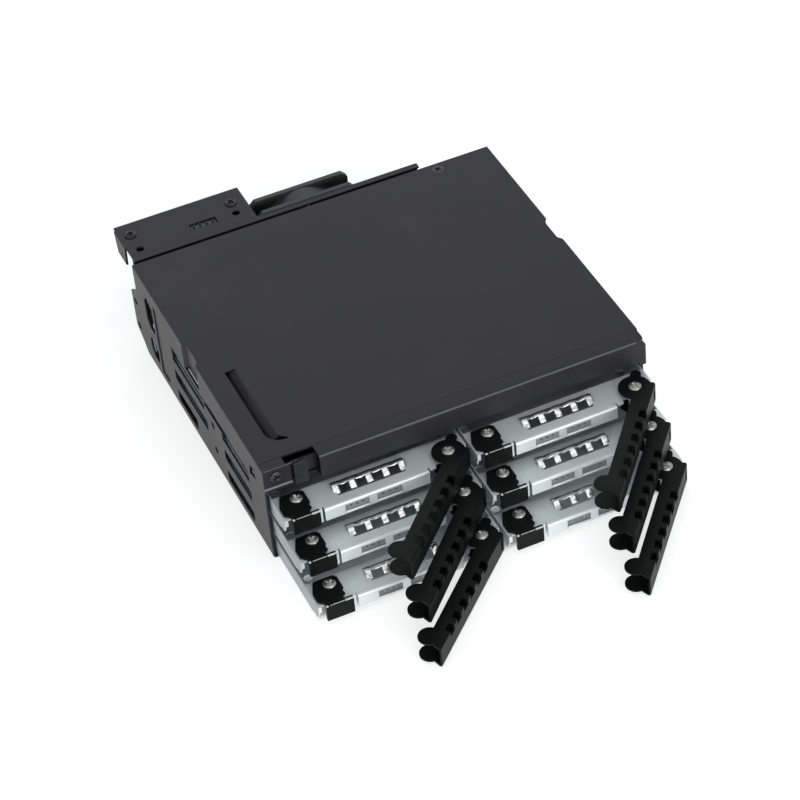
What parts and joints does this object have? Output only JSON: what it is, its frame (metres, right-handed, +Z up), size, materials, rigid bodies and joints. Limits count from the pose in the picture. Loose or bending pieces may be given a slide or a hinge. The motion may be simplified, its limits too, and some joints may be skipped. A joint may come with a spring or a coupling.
{
  "type": "hot swap drive cage",
  "caption": "Half height 5.25 inch bay cage for 2.5 inch drives, with slide-out trays, folding levers, sprung latches and a rear fan.",
  "frame": {"origin": "on the underside of the cage, in the middle of its width, below the top cover's front edge", "axes": "+X to the right seen from the front, +Y from the front to the back, +Z up"},
  "size_m": [0.146, 0.2336, 0.0413],
  "materials": {
    "black_sheet": "satin black powder coat",
    "black_lever": "satin black",
    "plated_sheet": "zinc plated steel sheet",
    "spring_strip": "bright nickel",
    "bright_screw": "nickel plated",
    "dark_screw": "black zinc",
    "black_plastic": "moulded black",
    "circuit_board": "green solder mask"
  },
  "bodies": {
    "cage": {"chassis": "black_sheet", "top_cover": "black_sheet", "cover_screw": "black_sheet", "front_bezel": "black_sheet", "corner_bracket": "black_sheet", "corner_screw": "black_sheet", "deck": "black_sheet", "divider": "black_sheet", "wall_rails": "plated_sheet", "divider_rails": "plated_sheet", "backplane": "circuit_board", "drive_sockets": "black_plastic", "data_ports": "black_plastic", "power_ports": "black_plastic", "board_bracket": "black_sheet", "rear_panel": "black_sheet", "rear_shelf": "black_sheet", "jumper_board": "circuit_board", "pin_header": "black_plastic", "shelf_screws": "dark_screw", "fan_frame": "black_plastic"},
    "lock_slider": {"lock_slider": "black_sheet"},
    "fan_rotor": {"fan_rotor": "black_plastic"},
    "tray_left_1": {"tray_left_1": "plated_sheet", "finger_strip_left_1": "spring_strip", "tray_screws_left_1": "bright_screw"},
    "lever_left_1": {"lever_left_1": "black_lever"},
    "latch_left_1": {"latch_left_1": "black_lever"},
    "tray_left_2": {"tray_left_2": "plated_sheet", "finger_strip_left_2": "spring_strip", "tray_screws_left_2": "bright_screw"},
    "lever_left_2": {"lever_left_2": "black_lever"},
    "latch_left_2": {"latch_left_2": "black_lever"},
    "tray_left_3": {"tray_left_3": "plated_sheet", "finger_strip_left_3": "spring_strip", "tray_screws_left_3": "bright_screw"},
    "lever_left_3": {"lever_left_3": "black_lever"},
    "latch_left_3": {"latch_left_3": "black_lever"},
    "tray_right_1": {"tray_right_1": "plated_sheet", "finger_strip_right_1": "spring_strip", "tray_screws_right_1": "bright_screw"},
    "lever_right_1": {"lever_right_1": "black_lever"},
    "latch_right_1": {"latch_right_1": "black_lever"},
    "tray_right_2": {"tray_right_2": "plated_sheet", "finger_strip_right_2": "spring_strip", "tray_screws_right_2": "bright_screw"},
    "lever_right_2": {"lever_right_2": "black_lever"},
    "latch_right_2": {"latch_right_2": "black_lever"},
    "tray_right_3": {"tray_right_3": "plated_sheet", "finger_strip_right_3": "spring_strip", "tray_screws_right_3": "bright_screw"},
    "lever_right_3": {"lever_right_3": "black_lever"},
    "latch_right_3": {"latch_right_3": "black_lever"}
  },
  "joints": [
    {"name": "tray_left_1_slide", "type": "slide", "parent": "cage", "child": "tray_left_1", "axis": [0, -1, 0], "range_m": [-0.0138, 0.1042]},
    {"name": "lever_left_1_hinge", "type": "hinge", "parent": "tray_left_1", "child": "lever_left_1", "pos_m": [-0.0081, -0.0138, 0.02555], "axis": [0, 0, 1], "range_deg": [-45.5, 16.5]},
    {"name": "latch_left_1_hinge", "type": "hinge", "parent": "tray_left_1", "child": "latch_left_1", "pos_m": [-0.0637, -0.00953, 0.0286], "axis": [0, 0, 1], "range_deg": [-6, 0], "stiffness_Nm_per_rad": 0.05},
    {"name": "tray_left_2_slide", "type": "slide", "parent": "cage", "child": "tray_left_2", "axis": [0, -1, 0], "range_m": [-0.0254, 0.0926]},
    {"name": "lever_left_2_hinge", "type": "hinge", "parent": "tray_left_2", "child": "lever_left_2", "pos_m": [-0.0081, -0.0254, 0.01555], "axis": [0, 0, 1], "range_deg": [-46, 16]},
    {"name": "latch_left_2_hinge", "type": "hinge", "parent": "tray_left_2", "child": "latch_left_2", "pos_m": [-0.0637, -0.02113, 0.0186], "axis": [0, 0, 1], "range_deg": [-6, 0], "stiffness_Nm_per_rad": 0.05},
    {"name": "tray_left_3_slide", "type": "slide", "parent": "cage", "child": "tray_left_3", "axis": [0, -1, 0], "range_m": [-0.0381, 0.0799]},
    {"name": "lever_left_3_hinge", "type": "hinge", "parent": "tray_left_3", "child": "lever_left_3", "pos_m": [-0.0081, -0.0381, 0.00555], "axis": [0, 0, 1], "range_deg": [-43.5, 18.5]},
    {"name": "latch_left_3_hinge", "type": "hinge", "parent": "tray_left_3", "child": "latch_left_3", "pos_m": [-0.0637, -0.03383, 0.0086], "axis": [0, 0, 1], "range_deg": [-6, 0], "stiffness_Nm_per_rad": 0.05},
    {"name": "tray_right_1_slide", "type": "slide", "parent": "cage", "child": "tray_right_1", "axis": [0, -1, 0], "range_m": [-0.0156, 0.1024]},
    {"name": "lever_right_1_hinge", "type": "hinge", "parent": "tray_right_1", "child": "lever_right_1", "pos_m": [0.0637, -0.0156, 0.02555], "axis": [0, 0, 1], "range_deg": [-50.3, 11.7]},
    {"name": "latch_right_1_hinge", "type": "hinge", "parent": "tray_right_1", "child": "latch_right_1", "pos_m": [0.0081, -0.01133, 0.0286], "axis": [0, 0, 1], "range_deg": [-6, 0], "stiffness_Nm_per_rad": 0.05},
    {"name": "tray_right_2_slide", "type": "slide", "parent": "cage", "child": "tray_right_2", "axis": [0, -1, 0], "range_m": [-0.0268, 0.0912]},
    {"name": "lever_right_2_hinge", "type": "hinge", "parent": "tray_right_2", "child": "lever_right_2", "pos_m": [0.0637, -0.0268, 0.01555], "axis": [0, 0, 1], "range_deg": [-49.8, 12.2]},
    {"name": "latch_right_2_hinge", "type": "hinge", "parent": "tray_right_2", "child": "latch_right_2", "pos_m": [0.0081, -0.02253, 0.0186], "axis": [0, 0, 1], "range_deg": [-6, 0], "stiffness_Nm_per_rad": 0.05},
    {"name": "tray_right_3_slide", "type": "slide", "parent": "cage", "child": "tray_right_3", "axis": [0, -1, 0], "range_m": [-0.0384, 0.0796]},
    {"name": "lever_right_3_hinge", "type": "hinge", "parent": "tray_right_3", "child": "lever_right_3", "pos_m": [0.0637, -0.0384, 0.00555], "axis": [0, 0, 1], "range_deg": [-49.5, 12.5]},
    {"name": "latch_right_3_hinge", "type": "hinge", "parent": "tray_right_3", "child": "latch_right_3", "pos_m": [0.0081, -0.03413, 0.0086], "axis": [0, 0, 1], "range_deg": [-6, 0], "stiffness_Nm_per_rad": 0.05},
    {"name": "lock_slide", "type": "slide", "parent": "cage", "child": "lock_slider", "axis": [1, 0, 0], "range_m": [0, 0.0035]},
    {"name": "fan_spin", "type": "hinge", "parent": "cage", "child": "fan_rotor", "pos_m": [0, 0.134, 0.0205], "axis": [0, 1, 0], "continuous": true}
  ]
}
